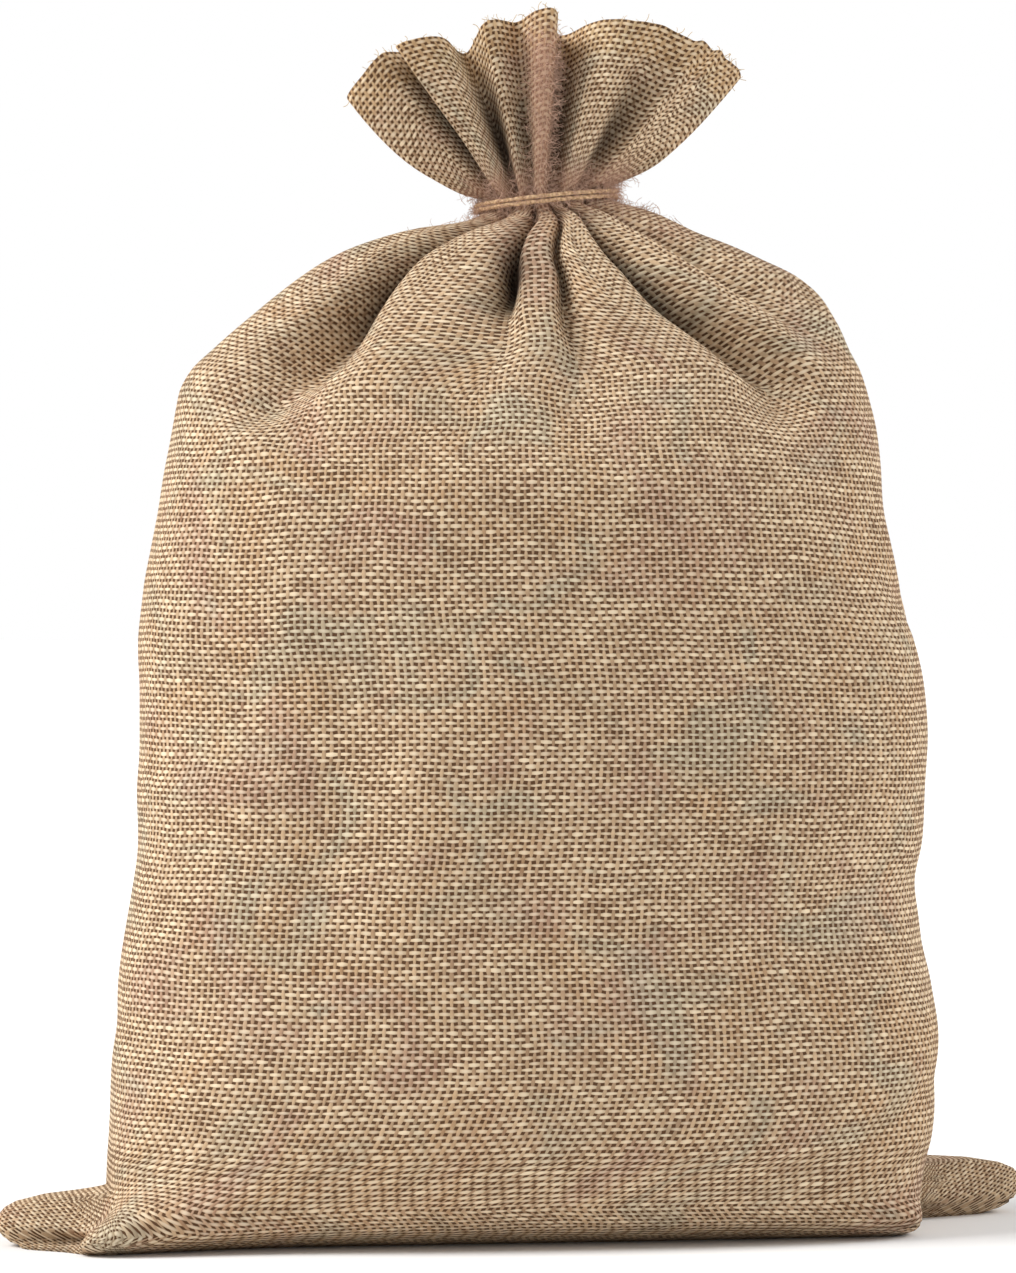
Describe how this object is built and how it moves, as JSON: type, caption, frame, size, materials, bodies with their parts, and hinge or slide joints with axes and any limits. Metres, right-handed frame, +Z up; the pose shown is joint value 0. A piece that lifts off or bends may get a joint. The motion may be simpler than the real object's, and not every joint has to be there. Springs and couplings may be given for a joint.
{
  "type": "filled burlap sack",
  "caption": "Filled burlap sack standing on a flat base with its floor corners spread, its neck gathered and tied with twine and the mouth flaring open above the tie.",
  "frame": {"origin": "centre of the bounding box's bottom, on the floor under the sack", "axes": "X along the wide side between the floor corners, Y from front to back, Z up"},
  "size_m": [0.4184, 0.185, 0.4819],
  "materials": {
    "burlap": "coarse plain weave, matt",
    "twine": "twisted jute, matt"
  },
  "bodies": {
    "root": {"sack": "burlap", "tie": "twine"}
  },
  "joints": []
}
